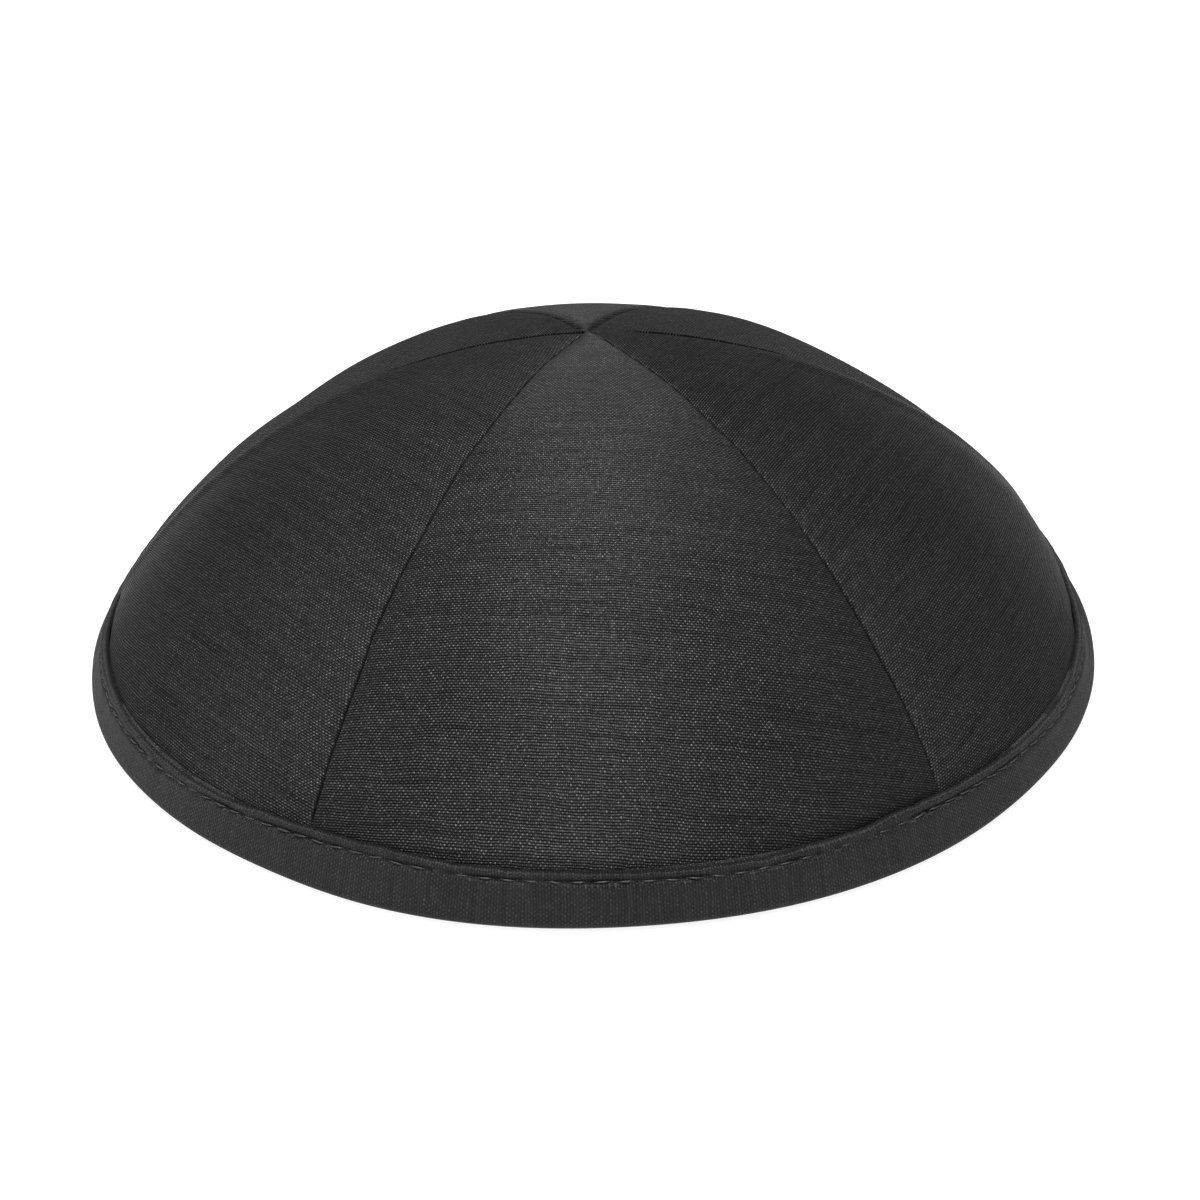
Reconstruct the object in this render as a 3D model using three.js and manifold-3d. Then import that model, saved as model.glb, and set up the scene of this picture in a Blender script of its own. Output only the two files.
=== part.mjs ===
// A kippah of six black silk gores, with a white lining of four panels, a folded rim binding and a sewn-in clip.
// Millimetres, +Z up. The rim rests on z = 0, the front gore faces -Y, and the clip is at the back, on +Y.
import * as THREE from "three";
import { mergeVertices } from "three/addons/utils/BufferGeometryUtils.js";
import Module from "manifold-3d";

const wasm = await Module();
wasm.setup();

const degrees = THREE.MathUtils.degToRad;

// Driving dimensions of the outside
const RIM_RADIUS = 85; // where the band's outer face, carried on down, meets the table
const OVAL = 0.02; // the cap is longer front to back by this share, and narrower side to side
const BAND_SLOPE = degrees(65);
const BAND_WIDTH = 8.2; // the binding outside, from the table to its folded edge
const CROWN_SLOPE = degrees(54); // the crown's slope where it leaves the band; from there it is part of a sphere
const RIM_ROUNDING = 1.5;

// The layers of cloth
const CLOTH = 1.0; // each layer, with its stiffening
const GAP = 0.3; // between layers, and between neighbours at a seam
const PILLOW = 0.5; // how much thicker a gore is at its middle than at its seams
const SEAM_VALLEY = 4; // how far from a seam the gore reaches most of that

// The inside
const GORES = ["front", "front_right", "back_right", "back", "back_left", "front_left"];
const LININGS = ["front", "right", "back", "left"];
const INNER_BAND_WIDTH = 12.3; // the binding inside, from the table to its free edge
const EDGE_WAVE = { height: 0.35, waves: 9 }; // the free edge wanders up and down
const CAVITY_FLOOR = 1.3; // height of the fold's bottom, inside the binding
const TIP_RADIUS = 0.8; // gores and lining panels stop this far from the top point

// Soft folds of the lining, standing inwards: the place of each one's middle, round the cap and up the wall,
// half its length and width, how far it leans from straight up the wall, and how far it stands in
const LINING_FOLDS = [
  { round: 148, up: 34, halfLength: 17, halfWidth: 4.5, lean: -22, depth: 1.1 },
  { round: 163, up: 24, halfLength: 8, halfWidth: 2.5, lean: -50, depth: 0.9 },
  { round: 203, up: 30, halfLength: 12, halfWidth: 4.0, lean: 18, depth: 0.8 },
  { round: 232, up: 36, halfLength: 16, halfWidth: 4.5, lean: 30, depth: 1.0 },
  { round: 262, up: 44, halfLength: 20, halfWidth: 6.0, lean: 12, depth: 1.3 },
  { round: 284, up: 40, halfLength: 18, halfWidth: 5.5, lean: -14, depth: 1.1 },
  { round: 325, up: 38, halfLength: 15, halfWidth: 5.0, lean: 20, depth: 1.0 },
  { round: 8, up: 36, halfLength: 16, halfWidth: 6.5, lean: -16, depth: 1.2 },
  { round: 62, up: 40, halfLength: 18, halfWidth: 6.0, lean: 15, depth: 1.1 },
  { round: 98, up: 42, halfLength: 18, halfWidth: 6.0, lean: -10, depth: 1.2 },
];

// The clip, in distances from the table up the wall and from its own middle line
const CLIP = {
  steel: 0.6,
  foot: 4.4, // the plate's round end
  plateTop: 12.6, // where the legs and the tongue leave the plate
  legTop: 22.6,
  tip: 47.6,
  halfWidth: 6.5,
  plateRound: 5.2, // how far the plate's round end reaches up
  legInside: 3.1,
  tongueRoot: 2.0, // half widths of the tongue at its root and near its tip
  tongueHead: 2.6,
  pointLength: 4.2,
  slotHalf: 0.95,
  slotFrom: 25.1,
  slotTo: 40.1,
  bow: 1.0, // how far the tongue bows in from the lining
};

// How finely the shapes are cut into faces
const GORE_GRID = { up: 15, round: 10 };
const LINING_GRID = { up: 13, round: 14 };
const BINDING_STEPS = 60;
const CORNER_STEPS = 3;

// Depth is measured inwards from the gores' outer face at a seam.
const BAND_STEP = CLOTH + GAP; // the band's outer face stands proud of the crown by this
const LINING_DEPTH = CLOTH + GAP;
const INNER_BAND_DEPTH = LINING_DEPTH + CLOTH + GAP;
const CLIP_DEPTH = INNER_BAND_DEPTH + CLOTH + GAP;

// The crown starts at the band's edge, and its sphere follows from its slope there.
const crownFoot = {
  radius: RIM_RADIUS - BAND_WIDTH * Math.cos(BAND_SLOPE) - BAND_STEP * Math.sin(BAND_SLOPE),
  height: BAND_WIDTH * Math.sin(BAND_SLOPE) - BAND_STEP * Math.cos(BAND_SLOPE),
};
const SPHERE_RADIUS = crownFoot.radius / Math.sin(CROWN_SLOPE);
const WALL_LENGTH = BAND_WIDTH + SPHERE_RADIUS * CROWN_SLOPE;

// A point of the wall's upright section: a distance up from the table along it, and a depth into it.
function wallPoint(up, depth) {
  const above = up - BAND_WIDTH;
  if (above <= 0) {
    const mitre = above === 0 ? (BAND_SLOPE + CROWN_SLOPE) / 2 : BAND_SLOPE;
    const reach = depth / Math.cos(BAND_SLOPE - mitre);
    return {
      radius: crownFoot.radius - above * Math.cos(BAND_SLOPE) - reach * Math.sin(mitre),
      height: crownFoot.height + above * Math.sin(BAND_SLOPE) - reach * Math.cos(mitre),
    };
  }
  const slope = CROWN_SLOPE - above / SPHERE_RADIUS;
  return {
    radius: (SPHERE_RADIUS - depth) * Math.sin(slope),
    height: crownFoot.height + (SPHERE_RADIUS - depth) * Math.cos(slope) - SPHERE_RADIUS * Math.cos(CROWN_SLOPE),
  };
}

// How far up the straight part of the wall a height is reached, at a depth into it.
function upAtHeight(height, depth) {
  return (height + (BAND_STEP + depth) * Math.cos(BAND_SLOPE)) / Math.sin(BAND_SLOPE);
}

// The outline seen from above, as a share of the mean radius. Angles run from the front to the right.
function oval(angle) {
  return 1 + OVAL * Math.cos(2 * angle);
}

// A point of the section, turned to its angle round the cap.
function placed({ radius, height }, angle) {
  const reach = radius * oval(angle);
  return new THREE.Vector3(reach * Math.sin(angle), -reach * Math.cos(angle), height);
}

// A mesh geometry from points and triangles.
function geometryOf(points, triangles) {
  const geometry = new THREE.BufferGeometry();
  geometry.setFromPoints(points);
  geometry.setIndex(triangles);
  geometry.computeVertexNormals();
  return geometry;
}

// A closed sheet of cloth or steel. pointAt gives the point of a row and a column on the outer or inner face.
function sheet(rows, columns, pointAt) {
  const points = [];
  const triangles = [];
  for (const face of ["outer", "inner"]) {
    for (const row of rows) {
      for (const column of columns) points.push(pointAt(row, column, face));
    }
  }
  const wide = columns.length;
  const inner = rows.length * wide;
  const last = rows.length - 1;
  const quad = (a, b, c, d) => triangles.push(a, b, c, a, c, d);
  for (let row = 0; row < last; row++) {
    for (let column = 0; column < wide - 1; column++) {
      const at = row * wide + column;
      quad(at, at + 1, at + 1 + wide, at + wide);
      quad(inner + at, inner + at + wide, inner + at + 1 + wide, inner + at + 1);
    }
    const left = row * wide;
    const right = left + wide - 1;
    quad(left, left + wide, inner + left + wide, inner + left);
    quad(right, inner + right, inner + right + wide, right + wide);
  }
  for (let column = 0; column < wide - 1; column++) {
    const low = column;
    const high = last * wide + column;
    quad(low, inner + low, inner + low + 1, low + 1);
    quad(high, high + 1, inner + high + 1, inner + high);
  }
  return geometryOf(points, triangles);
}

// A closed ring round the cap. sectionAt gives the loop of section points at an angle.
function ring(steps, sectionAt) {
  const points = [];
  const triangles = [];
  let around = 0;
  for (let step = 0; step < steps; step++) {
    const angle = (2 * Math.PI * step) / steps;
    const loop = sectionAt(angle);
    around = loop.length;
    for (const point of loop) points.push(placed(point, angle));
  }
  for (let step = 0; step < steps; step++) {
    const next = (step + 1) % steps;
    for (let i = 0; i < around; i++) {
      const j = (i + 1) % around;
      const [a, b] = [step * around + i, next * around + i];
      const [c, d] = [next * around + j, step * around + j];
      triangles.push(a, b, c, a, c, d);
    }
  }
  return geometryOf(points, triangles);
}

// Rows of a layer from the fold's bottom to the top point, with one on the bend at the band's edge.
function wallRows(count, depth) {
  const start = upAtHeight(CAVITY_FLOOR + GAP, depth + CLOTH);
  const top = WALL_LENGTH - TIP_RADIUS;
  const rows = [start];
  for (let i = 0; i < count; i++) rows.push(THREE.MathUtils.lerp(BAND_WIDTH, top, i / (count - 1)));
  return rows;
}

// Columns from seam to seam as shares of the half angle, closer together near the seams.
function seamColumns(count) {
  return Array.from({ length: count + 1 }, (_, i) => Math.sin((Math.PI / 2) * ((2 * i) / count - 1)));
}

// The angle of a column, half a gap short of each seam.
function columnAngle(middle, halfAngle, column, radius) {
  return middle + column * (halfAngle - Math.asin(GAP / 2 / radius));
}

// How much thicker a gore is at a place than at its seams. The band holds it flat.
function pillow(up, column, halfAngle, radius) {
  const fromSeam = (1 - Math.abs(column)) * halfAngle * radius;
  const fromBand = Math.max(0, up - BAND_WIDTH);
  return PILLOW * (1 - Math.exp(-fromSeam / SEAM_VALLEY)) * (1 - Math.exp(-fromBand / SEAM_VALLEY));
}

function gore(number) {
  const halfAngle = Math.PI / GORES.length;
  const middle = 2 * halfAngle * number;
  return sheet(wallRows(GORE_GRID.up, 0), seamColumns(GORE_GRID.round), (up, column, face) => {
    const seamRadius = wallPoint(up, 0).radius;
    const angle = columnAngle(middle, halfAngle, column, seamRadius);
    const depth = face === "outer" ? -pillow(up, column, halfAngle, seamRadius) : CLOTH;
    return placed(wallPoint(up, depth), angle);
  });
}

// How far the lining's folds push it in at a place.
function foldDepth(up, angle, radius) {
  let depth = 0;
  for (const fold of LINING_FOLDS) {
    const turn = Math.atan2(Math.sin(angle - degrees(fold.round)), Math.cos(angle - degrees(fold.round)));
    const across = turn * radius;
    const along = up - fold.up;
    const lean = degrees(fold.lean);
    const lengthwise = (along * Math.cos(lean) + across * Math.sin(lean)) / fold.halfLength;
    const sideways = (across * Math.cos(lean) - along * Math.sin(lean)) / fold.halfWidth;
    depth += fold.depth * Math.exp(-(lengthwise ** 2) - sideways ** 2);
  }
  return depth;
}

// A fold starts above the inner band and dies out at the panel's seams.
function liningPanel(number) {
  const halfAngle = Math.PI / LININGS.length;
  const middle = 2 * halfAngle * number;
  return sheet(wallRows(LINING_GRID.up, LINING_DEPTH), seamColumns(LINING_GRID.round), (up, column, face) => {
    const seamRadius = wallPoint(up, 0).radius;
    const angle = columnAngle(middle, halfAngle, column, seamRadius);
    const held = THREE.MathUtils.smoothstep(up, innerBandTop(angle), innerBandTop(angle) + 8);
    const free = held * (1 - column ** 4);
    const depth = LINING_DEPTH + free * foldDepth(up, angle, seamRadius);
    return placed(wallPoint(up, face === "outer" ? depth : depth + CLOTH), angle);
  });
}

// How far up the wall the inner band's free edge is.
function innerBandTop(angle) {
  const start = upAtHeight(0, INNER_BAND_DEPTH + CLOTH);
  return start + INNER_BAND_WIDTH + EDGE_WAVE.height * Math.sin(EDGE_WAVE.waves * angle);
}

// The rounded corner between the table and a face that leans at a slope, as points from one to the other.
function roundedCorner(foot, slope, side) {
  const back = RIM_ROUNDING / Math.tan(slope / 2);
  const points = [];
  for (let i = 0; i <= CORNER_STEPS; i++) {
    const turn = (Math.PI - slope) * (i / CORNER_STEPS);
    points.push({
      radius: foot - side * (back - RIM_ROUNDING * Math.sin(turn)),
      height: RIM_ROUNDING * (1 - Math.cos(turn)),
    });
  }
  return points;
}

// The binding's section: a fold with a short leg outside and a long one inside, flat where it rests.
function bindingSection(angle) {
  const inner = INNER_BAND_DEPTH + CLOTH;
  const edge = 0.3 * CLOTH;
  const innerFoot = RIM_RADIUS - (BAND_STEP + inner) / Math.sin(BAND_SLOPE);
  const top = innerBandTop(angle);
  const middleUp = (BAND_WIDTH + top) / 2;
  return [
    ...roundedCorner(RIM_RADIUS, BAND_SLOPE, 1),
    wallPoint(BAND_WIDTH - edge, -BAND_STEP),
    wallPoint(BAND_WIDTH, -BAND_STEP + edge),
    wallPoint(BAND_WIDTH, -GAP - edge),
    wallPoint(BAND_WIDTH - edge, -GAP),
    wallPoint(upAtHeight(CAVITY_FLOOR, -GAP), -GAP),
    wallPoint(upAtHeight(CAVITY_FLOOR, INNER_BAND_DEPTH), INNER_BAND_DEPTH),
    wallPoint(BAND_WIDTH, INNER_BAND_DEPTH),
    wallPoint(middleUp, INNER_BAND_DEPTH),
    wallPoint(top - edge, INNER_BAND_DEPTH),
    wallPoint(top, INNER_BAND_DEPTH + edge),
    wallPoint(top, inner - edge),
    wallPoint(top - edge, inner),
    wallPoint(middleUp, inner),
    wallPoint(BAND_WIDTH, inner),
    ...roundedCorner(innerFoot, Math.PI - BAND_SLOPE, -1).reverse(),
  ];
}

function rimBinding() {
  return ring(BINDING_STEPS, bindingSection);
}

// The clip's section line: straight along its plate, then along the wall, with the tongue bowed in.
function clipPoint(up, depth) {
  if (up < CLIP.plateTop) {
    const low = wallPoint(CLIP.foot, depth);
    const high = wallPoint(CLIP.plateTop, depth);
    const share = (up - CLIP.foot) / (CLIP.plateTop - CLIP.foot);
    return {
      radius: THREE.MathUtils.lerp(low.radius, high.radius, share),
      height: THREE.MathUtils.lerp(low.height, high.height, share),
    };
  }
  const share = (up - CLIP.plateTop) / (CLIP.tip - CLIP.plateTop);
  return wallPoint(up, depth + CLIP.bow * Math.sin(Math.PI * share));
}

// A piece of plate bent along the wall behind the clip. Its rows hold a distance up the wall, and how far its
// left and right edges are from the middle line. Extra makes a cutter thicker than the steel.
function bentPlate(rows, acrossSteps, extra) {
  const columns = Array.from({ length: acrossSteps + 1 }, (_, i) => i / acrossSteps);
  return sheet(rows, columns, (row, column, face) => {
    const outer = CLIP_DEPTH - extra;
    const inner = CLIP_DEPTH + CLIP.steel + extra;
    const point = clipPoint(row.up, face === "outer" ? outer : inner);
    const across = THREE.MathUtils.lerp(row.left, row.right, column);
    return placed(point, Math.PI + across / wallPoint(CLIP.plateTop, CLIP_DEPTH).radius);
  });
}

// The clip's blank: its plate's round end, and then its full width up to the tongue's tip.
function clipBlank() {
  const rows = [];
  const roundSteps = 6;
  for (let i = 1; i <= roundSteps; i++) {
    const turn = (Math.PI / 2) * (i / roundSteps);
    const half = CLIP.halfWidth * Math.sin(turn);
    rows.push({ up: CLIP.foot + CLIP.plateRound * (1 - Math.cos(turn)), left: -half, right: half });
  }
  const spanSteps = 15;
  for (let i = 0; i <= spanSteps; i++) {
    const up = THREE.MathUtils.lerp(CLIP.plateTop, CLIP.tip, i / spanSteps);
    rows.push({ up, left: -CLIP.halfWidth, right: CLIP.halfWidth });
  }
  return bentPlate(rows, 4, 0);
}

// What is stamped out of the blank: the windows beside the tongue, what lies past the legs, and the slot.
function clipCutters() {
  const clear = 0.5;
  const cutters = [];
  const cut = (rows) => cutters.push(bentPlate(rows, 1, clear));
  const past = CLIP.halfWidth + clear;
  const neck = (up) => {
    const share = THREE.MathUtils.clamp((up - CLIP.plateTop) / (CLIP.slotTo - CLIP.plateTop), 0, 1);
    return THREE.MathUtils.lerp(CLIP.tongueRoot, CLIP.tongueHead, share);
  };
  const pointStart = CLIP.tip - CLIP.pointLength;
  for (const side of [-1, 1]) {
    const row = (up, from, to) => ({ up, left: Math.min(side * from, side * to), right: Math.max(side * from, side * to) });
    const window = [CLIP.plateTop, (CLIP.plateTop + CLIP.legTop) / 2, CLIP.legTop + clear];
    cut(window.map((up) => row(up, neck(up), CLIP.legInside)));
    const beside = [];
    for (let i = 0; i <= 10; i++) {
      const up = THREE.MathUtils.lerp(CLIP.legTop, pointStart, i / 10);
      beside.push(row(up, neck(up), past));
    }
    for (let i = 1; i <= 3; i++) {
      const share = i / 3;
      beside.push(row(pointStart + share * (CLIP.pointLength + clear), CLIP.tongueHead * (1 - share ** 1.4), past));
    }
    cut(beside);
  }
  const slot = [];
  for (let i = 0; i <= 6; i++) {
    const up = THREE.MathUtils.lerp(CLIP.slotFrom, CLIP.slotTo, i / 6);
    slot.push({ up, left: -CLIP.slotHalf, right: CLIP.slotHalf });
  }
  cut(slot);
  return cutters;
}

// A closed geometry as a solid that can be cut.
function solidOf(geometry) {
  const bare = geometry.clone();
  bare.deleteAttribute("normal");
  const merged = mergeVertices(bare);
  const triVerts = new Uint32Array(merged.index.array);
  return new wasm.Manifold(
    new wasm.Mesh({ numProp: 3, vertProperties: merged.attributes.position.array, triVerts }),
  );
}

function clip() {
  let solid = solidOf(clipBlank());
  for (const cutter of clipCutters()) solid = solid.subtract(solidOf(cutter));
  const mesh = solid.getMesh();
  const geometry = new THREE.BufferGeometry();
  geometry.setAttribute("position", new THREE.BufferAttribute(mesh.vertProperties, mesh.numProp));
  geometry.setIndex(Array.from(mesh.triVerts));
  geometry.computeVertexNormals();
  return geometry;
}

// Finishes
const blackSilk = () => new THREE.MeshStandardMaterial({ color: 0x2b2b2b, roughness: 0.55 });
const whiteSatin = () => new THREE.MeshStandardMaterial({ color: 0xeeeeee, roughness: 0.4 });
const darkSteel = () => new THREE.MeshStandardMaterial({ color: 0x6a6a6e, roughness: 0.3, metalness: 1 });

const group = new THREE.Group();

function add(name, geometry, material) {
  const mesh = new THREE.Mesh(geometry, material);
  mesh.name = name;
  group.add(mesh);
}

GORES.forEach((name, number) => add(`gore_${name}`, gore(number), blackSilk()));
LININGS.forEach((name, number) => add(`lining_${name}`, liningPanel(number), whiteSatin()));
add("rim_binding", rimBinding(), blackSilk());
add("clip", clip(), darkSteel());

export default group;
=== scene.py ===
"""A black six-gore kippah with a white lining, a folded rim binding and a sewn-in clip, on a pale floor."""
import math

import bpy
import numpy as np
from mathutils import Matrix, Vector


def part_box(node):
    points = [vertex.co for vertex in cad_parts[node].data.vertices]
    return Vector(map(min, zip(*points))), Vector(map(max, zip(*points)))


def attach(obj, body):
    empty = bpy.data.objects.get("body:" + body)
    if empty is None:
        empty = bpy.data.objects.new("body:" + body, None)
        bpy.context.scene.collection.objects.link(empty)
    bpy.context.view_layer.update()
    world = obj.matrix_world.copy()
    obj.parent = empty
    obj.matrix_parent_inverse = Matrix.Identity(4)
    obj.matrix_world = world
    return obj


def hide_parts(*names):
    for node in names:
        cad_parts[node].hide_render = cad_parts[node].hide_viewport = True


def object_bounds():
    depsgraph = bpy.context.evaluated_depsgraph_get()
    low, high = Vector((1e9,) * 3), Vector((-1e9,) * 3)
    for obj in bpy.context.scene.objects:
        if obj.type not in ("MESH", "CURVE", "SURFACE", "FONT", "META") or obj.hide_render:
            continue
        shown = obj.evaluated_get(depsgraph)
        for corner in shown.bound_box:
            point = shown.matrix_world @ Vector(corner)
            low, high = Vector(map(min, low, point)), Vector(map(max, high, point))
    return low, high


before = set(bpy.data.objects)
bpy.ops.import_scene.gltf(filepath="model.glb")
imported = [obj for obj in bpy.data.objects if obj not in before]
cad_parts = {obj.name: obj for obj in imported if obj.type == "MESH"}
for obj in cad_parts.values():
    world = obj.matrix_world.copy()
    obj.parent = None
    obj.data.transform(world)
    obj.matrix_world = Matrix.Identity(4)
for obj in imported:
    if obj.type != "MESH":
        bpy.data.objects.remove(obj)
cad_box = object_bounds()

MM = 0.001

# The map that gives a point's place on its cloth, in millimetres along the weft and the warp
CLOTH_MAP = "cloth"

# Sizes of the cap in millimetres, as in the frame's solids
BAND_SLOPE = math.radians(65)
BAND_WIDTH = 8.2
CROWN_SLOPE = math.radians(54)
RIM_ROUNDING = 1.5
CLOTH = 1.0
GAP = 0.3
INNER_BAND_WIDTH = 12.3
EDGE_WAVE = {"height": 0.35, "waves": 9}
CAVITY_FLOOR = 1.3

# The scene's own sizes: how much a gore swells between its seams, how far from a seam and from the band it
# has most of that, and how far to both sides of the band's edge the direction of depth turns
PILLOW = 0.28
SEAM_VALLEY = 4.5
BAND_VALLEY = 0.8
BEND = 0.6

# The panels, in order from the front to the right
GORES = ["front", "front_right", "back_right", "back", "back_left", "front_left"]
LININGS = ["front", "right", "back", "left"]

# The rim's outline comes from the frame.
rim_low, rim_high = (np.array(corner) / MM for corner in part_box("rim_binding"))
half_wide, half_long = (rim_high - rim_low)[:2] / 2
FOOT_ROUNDED_OFF = RIM_ROUNDING / math.tan(BAND_SLOPE / 2) - RIM_ROUNDING
RIM_RADIUS = (half_wide + half_long) / 2 + FOOT_ROUNDED_OFF
OVAL = (half_long - half_wide) / (half_long + half_wide)

# Depth is measured inwards from the gores' outer face at a seam.
BAND_STEP = CLOTH + GAP
LINING_DEPTH = CLOTH + GAP
INNER_BAND_DEPTH = LINING_DEPTH + CLOTH + GAP
LEG_DEPTH = -0.2  # the back of the binding's outer leg, which lies just outside the gores

FOOT_RADIUS = RIM_RADIUS - BAND_WIDTH * math.cos(BAND_SLOPE) - BAND_STEP * math.sin(BAND_SLOPE)
FOOT_HEIGHT = BAND_WIDTH * math.sin(BAND_SLOPE) - BAND_STEP * math.cos(BAND_SLOPE)
SPHERE_RADIUS = FOOT_RADIUS / math.sin(CROWN_SLOPE)
SPHERE_HEIGHT = FOOT_HEIGHT - SPHERE_RADIUS * math.cos(CROWN_SLOPE)
WALL_LENGTH = BAND_WIDTH + SPHERE_RADIUS * CROWN_SLOPE

# The gores' seams, in order from the one on the right of the front gore. In millimetres: how deep the
# groove is, half its width and how far from the top point it starts, how deep the valley round it is near
# the top point, how high the cloth over its allowances stands and how much it puckers. In degrees: how far
# it leans near the top point and is swept near the band. fade is the share of the groove that is gone near
# the band.
SEAMS = [
    {"groove": 0.36, "half_width": 0.15, "start": 4.0, "valley": 0.05, "ridge": 0.05,
     "pucker": 0.07, "lean": 0.0, "sweep": 0.0, "fade": 0.0},
    {"groove": 0.90, "half_width": 0.50, "start": 9.0, "valley": 0.10, "ridge": 0.40,
     "pucker": 0.02, "lean": 0.0, "sweep": 4.0, "fade": 0.6},
    {"groove": 0.65, "half_width": 0.38, "start": 0.0, "valley": 0.30, "ridge": 0.12,
     "pucker": 0.05, "lean": 3.0, "sweep": 0.0, "fade": 0.45},
    {"groove": 0.60, "half_width": 0.34, "start": 0.0, "valley": 0.30, "ridge": 0.12,
     "pucker": 0.05, "lean": -7.0, "sweep": 0.0, "fade": 0.45},
    {"groove": 0.90, "half_width": 0.45, "start": 0.0, "valley": 0.15, "ridge": 0.40,
     "pucker": 0.02, "lean": 0.0, "sweep": 0.0, "fade": 0.6},
    {"groove": 0.38, "half_width": 0.15, "start": 0.0, "valley": 0.32, "ridge": 0.03,
     "pucker": 0.07, "lean": 0.0, "sweep": 0.0, "fade": 0.0},
]
SEAM_WANDER = {"by": 0.2, "length": 7.0}

# How far from the top point a seam's lean reaches, its sweep grows and its groove fades
LEAN_REACH = 45.0
SWEEP_GROWS = (15.0, 65.0)
GROOVE_FADES = (28.0, 60.0)

# The valley round a seam near the top point, the cloth over its allowance, and its short and long puckers
VALLEY = {"reach": 15.0, "half_width": 1.2, "start": 3.0}
ALLOWANCE = {"rise": (0.1, 1.5), "width": 7.0, "fall": 4.0, "grows": (20.0, 42.0)}
PUCKERS = {"length": 2.6, "reach": 1.2}
LONG_PUCKERS = {"share": 0.6, "length": 5.5, "reach": 4.0, "slant": 0.35}

# The side seams' allowances are pressed forwards, so the back gores, on these sides of the seams, lie flat
FLAT_SIDE = {1: 1, 4: -1}

# Soft dents and, below zero, swellings of the wall: where each one's middle is, half its width round the
# cap and up the wall, and its depth. The depths from 92 to 258 degrees come from a least-squares fit to
# the photo's outline, seams and band, and the others were set one by one.
DENTS = [
    {"round": 82, "up": 5, "half_round": 13, "half_up": 4, "depth": 1.25},
    {"round": 86, "up": 31, "half_round": 9, "half_up": 16, "depth": -0.90},
    {"round": 92, "up": 20, "half_round": 12, "half_up": 8, "depth": -0.51},
    {"round": 100, "up": 34, "half_round": 14, "half_up": 10, "depth": -0.40},
    {"round": 131, "up": 63, "half_round": 22, "half_up": 10, "depth": -0.46},
    {"round": 173, "up": 76, "half_round": 40, "half_up": 12, "depth": 0.36},
    {"round": 232, "up": 56, "half_round": 18, "half_up": 10, "depth": 0.39},
    {"round": 246, "up": 42, "half_round": 14, "half_up": 10, "depth": 1.34},
    {"round": 258, "up": 27, "half_round": 12, "half_up": 9, "depth": 0.53},
    {"round": 268, "up": 5, "half_round": 14, "half_up": 4, "depth": 1.30},
    {"round": 282, "up": 8, "half_round": 12, "half_up": 5, "depth": -0.20},
]

# How far the foot of the wall stands outside its oval, and half the width of each such place. The value
# at 262 degrees comes from the same fit, and the others were changed from its results.
RIM_BULGES = [
    {"round": 0, "half_round": 12, "out": -0.38},
    {"round": 43, "half_round": 10, "out": -0.30},
    {"round": 75, "half_round": 14, "out": -0.22},
    {"round": 262, "half_round": 14, "out": -0.21},
    {"round": 298, "half_round": 9, "out": 0.30},
    {"round": 326, "half_round": 9, "out": -0.42},
]
RIM_BULGE_FADE = 60

# How far up the wall the dents begin, and where they have their full depth
DENTS_BEGIN = (2.0, 5.0)

# How much higher than usual the binding's outer edge runs
EDGE_RISES = [
    {"round": 50, "half_round": 9, "rise": -0.6},
    {"round": 27, "half_round": 7, "rise": 0.25},
    {"round": 7, "half_round": 9, "rise": -0.4},
    {"round": 334, "half_round": 9, "rise": 0.55},
    {"round": 311, "half_round": 12, "rise": -0.55},
]

# Stitches of the rim. thread is the thread's radius, tilt and off_line say how unevenly they lie, and
# sink says how deep their ends go.
STITCH = {
    "below_edge": 1.4, "pitch": 2.9, "length": 2.2, "thread": 0.11, "tilt": 0.06, "off_line": 0.03,
    "sink": 0.36, "points": 7, "sides": 8,
}
STITCH_GROOVE = {"depth": 0.40, "half_width": 0.34}
STEPS_PER_STITCH = 7
EDGE_THICKNESS = 0.95  # of the binding's folded edge
STITCH_COUNT = int(2 * math.pi * RIM_RADIUS / STITCH["pitch"])

# Where the random numbers of each kind of unevenness start
SEEDS = {
    "edge_waves": 11, "edge_ripples": 12, "stitch_line": 14, "stitch_pull": 20, "band_puckers": 21,
    "band_waves": 22, "inner_lift": 31, "inner_ripples": 32, "inner_edge": 33, "seam_wander": 40,
    "seam_puckers": 70, "long_puckers": 110, "gore_gathers": 200, "gore_dimples": 300,
    "small_creases": 500, "large_creases": 510, "lining_puckers": 520, "upright_creases": 530,
    "thread_outside": 14, "thread_inside": 13,
}


def smooth(value, low, high):
    """0 below low, 1 above high, and an S between."""
    share = np.clip((value - low) / (high - low), 0.0, 1.0)
    return share * share * (3 - 2 * share)


def hump(distance, half_width):
    """1 at no distance, and next to nothing from two half widths on."""
    return np.exp(-((distance / half_width) ** 2))


def turn_between(angle, other):
    """The signed angle from other to angle."""
    return np.arctan2(np.sin(angle - other), np.cos(angle - other))


# How many random numbers a line and each side of a surface are made from, and how many lie before its start
LINE_KNOTS = 2048
SURFACE_KNOTS = 256
KNOTS_BEFORE = {"line": 900, "surface": 100}


def wander(along, seed, wavelength):
    """Smooth random numbers from -1 to 1 along a line."""
    knots = np.random.default_rng(seed).uniform(-1, 1, LINE_KNOTS)
    place = np.asarray(along) / wavelength + KNOTS_BEFORE["line"]
    step = np.floor(place).astype(int)
    share = smooth(place - step, 0, 1)
    return knots[step % LINE_KNOTS] * (1 - share) + knots[(step + 1) % LINE_KNOTS] * share


def wander_round(angle, seed, count):
    """Smooth random numbers from -1 to 1 that close up round the cap after count of them."""
    knots = np.random.default_rng(seed).uniform(-1, 1, count)
    place = np.asarray(angle) / (2 * math.pi) * count
    step = np.floor(place).astype(int)
    share = smooth(place - step, 0, 1)
    return knots[step % count] * (1 - share) + knots[(step + 1) % count] * share


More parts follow.
